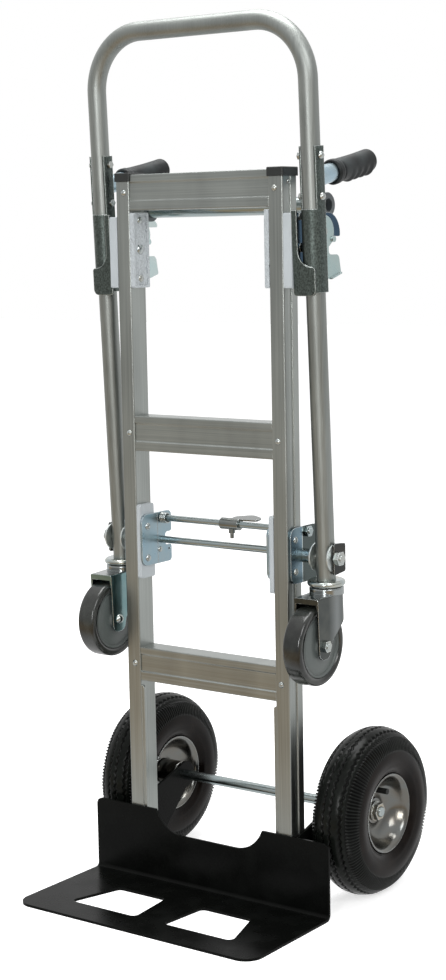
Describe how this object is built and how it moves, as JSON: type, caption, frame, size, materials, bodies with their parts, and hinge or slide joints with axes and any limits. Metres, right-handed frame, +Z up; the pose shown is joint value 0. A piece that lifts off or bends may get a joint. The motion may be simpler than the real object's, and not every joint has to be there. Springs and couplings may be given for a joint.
{
  "type": "convertible hand truck",
  "caption": "Folding aluminium hand truck with pneumatic wheels and a steel toe plate; its loop handle carries swivel casters and folds forward on a sliding carriage to make a cart.",
  "frame": {"origin": "on the floor, at the middle of the truck's width and depth", "axes": "+Z up, +X to the truck's right seen from the front, where the toe plate is, +Y to the back"},
  "size_m": [0.491, 0.4786, 1.333],
  "materials": {
    "satin_aluminium": "satin",
    "black_paint": "gloss",
    "zinc": "bright zinc",
    "blue_zinc": "blue zinc",
    "dark_steel": "mottled",
    "white_plastic": "smooth",
    "black_plastic": "smooth",
    "grey_plastic": "smooth",
    "grey_lever": "satin",
    "silver_rim": "silver gloss",
    "tyre_rubber": "moulded",
    "caster_rubber": "smooth",
    "grip_rubber": "soft",
    "valve_rubber": "smooth"
  },
  "bodies": {
    "frame": {"left_rail": "satin_aluminium", "right_rail": "satin_aluminium", "rail_caps": "black_plastic", "top_crossbar": "satin_aluminium", "middle_crossbar": "satin_aluminium", "lower_crossbar": "satin_aluminium", "rail_rivets": "zinc", "nose_plate": "black_paint", "left_axle_bracket": "black_paint", "right_axle_bracket": "black_paint", "rail_bolts": "zinc", "axle": "zinc", "axle_nuts": "zinc", "inner_blocks": "white_plastic", "outer_blocks": "white_plastic", "plate_bolts": "zinc", "left_side_plate": "blue_zinc", "right_side_plate": "blue_zinc", "rear_bar": "zinc", "bar_bushes": "grey_plastic", "dock_pads": "white_plastic", "dock_plates": "blue_zinc"},
    "carriage": {"inner_plates": "blue_zinc", "outer_plates": "blue_zinc", "slider_shoes": "white_plastic", "carriage_screws": "zinc", "cross_rod": "zinc", "pivot_studs": "zinc", "pivot_spacers": "zinc", "keeper_plates": "zinc", "release_spring": "zinc"},
    "loop": {"loop_handle": "satin_aluminium", "left_leg": "satin_aluminium", "right_leg": "satin_aluminium", "leg_discs": "zinc", "left_sleeve": "dark_steel", "right_sleeve": "dark_steel", "sleeve_bolts": "zinc", "grip_tubes": "zinc", "left_grip": "grip_rubber", "right_grip": "grip_rubber", "caster_cups": "zinc"},
    "release": {"release_rod": "zinc", "release_lever": "grey_lever"},
    "left_wheel": {"left_tyre": "tyre_rubber", "left_rim": "silver_rim", "left_valve": "valve_rubber"},
    "left_fork": {"left_caster_fork": "zinc", "left_caster_axle": "zinc"},
    "left_caster": {"left_caster_hub": "grey_plastic", "left_caster_tread": "caster_rubber"},
    "left_latch": {"left_latch": "zinc"},
    "right_wheel": {"right_tyre": "tyre_rubber", "right_rim": "silver_rim", "right_valve": "valve_rubber"},
    "right_fork": {"right_caster_fork": "zinc", "right_caster_axle": "zinc"},
    "right_caster": {"right_caster_hub": "grey_plastic", "right_caster_tread": "caster_rubber"},
    "right_latch": {"right_latch": "zinc"}
  },
  "joints": [
    {"name": "carriage_slide", "type": "slide", "parent": "frame", "child": "carriage", "axis": [0, 0, 1], "range_m": [0, 0.3]},
    {"name": "loop_fold", "type": "hinge", "parent": "carriage", "child": "loop", "pos_m": [0, 0.00625, 0.54], "axis": [1, 0, 0], "range_deg": [0, 87.42]},
    {"name": "release_lift", "type": "hinge", "parent": "carriage", "child": "release", "pos_m": [0, 0.01375, 0.5755], "axis": [1, 0, 0], "range_deg": [0, 25], "stiffness_Nm_per_rad": 0.3, "springref_deg": -20.05},
    {"name": "left_wheel_spin", "type": "hinge", "parent": "frame", "child": "left_wheel", "pos_m": [-0.2055, 0.10925, 0.13], "axis": [1, 0, 0], "continuous": true},
    {"name": "left_swivel", "type": "hinge", "parent": "loop", "child": "left_fork", "pos_m": [-0.1942, 0.00625, 0.54], "axis": [0, -0.045, 0.999], "range_deg": [-235, 15]},
    {"name": "left_caster_spin", "type": "hinge", "parent": "left_fork", "child": "left_caster", "pos_m": [-0.1942, -0.02915, 0.41478], "axis": [1, 0, 0], "continuous": true},
    {"name": "left_latch_pull", "type": "hinge", "parent": "frame", "child": "left_latch", "pos_m": [-0.17255, 0.04575, 1.016], "axis": [1, 0, 0], "range_deg": [0, 20], "stiffness_Nm_per_rad": 0.2, "springref_deg": -20.05},
    {"name": "right_wheel_spin", "type": "hinge", "parent": "frame", "child": "right_wheel", "pos_m": [0.2055, 0.10925, 0.13], "axis": [1, 0, 0], "continuous": true},
    {"name": "right_swivel", "type": "hinge", "parent": "loop", "child": "right_fork", "pos_m": [0.1942, 0.00625, 0.54], "axis": [0, -0.045, 0.999], "range_deg": [-15, 235]},
    {"name": "right_caster_spin", "type": "hinge", "parent": "right_fork", "child": "right_caster", "pos_m": [0.1942, -0.02915, 0.41478], "axis": [1, 0, 0], "continuous": true},
    {"name": "right_latch_pull", "type": "hinge", "parent": "frame", "child": "right_latch", "pos_m": [0.17255, 0.04575, 1.016], "axis": [1, 0, 0], "range_deg": [0, 20], "stiffness_Nm_per_rad": 0.2, "springref_deg": -20.05}
  ]
}
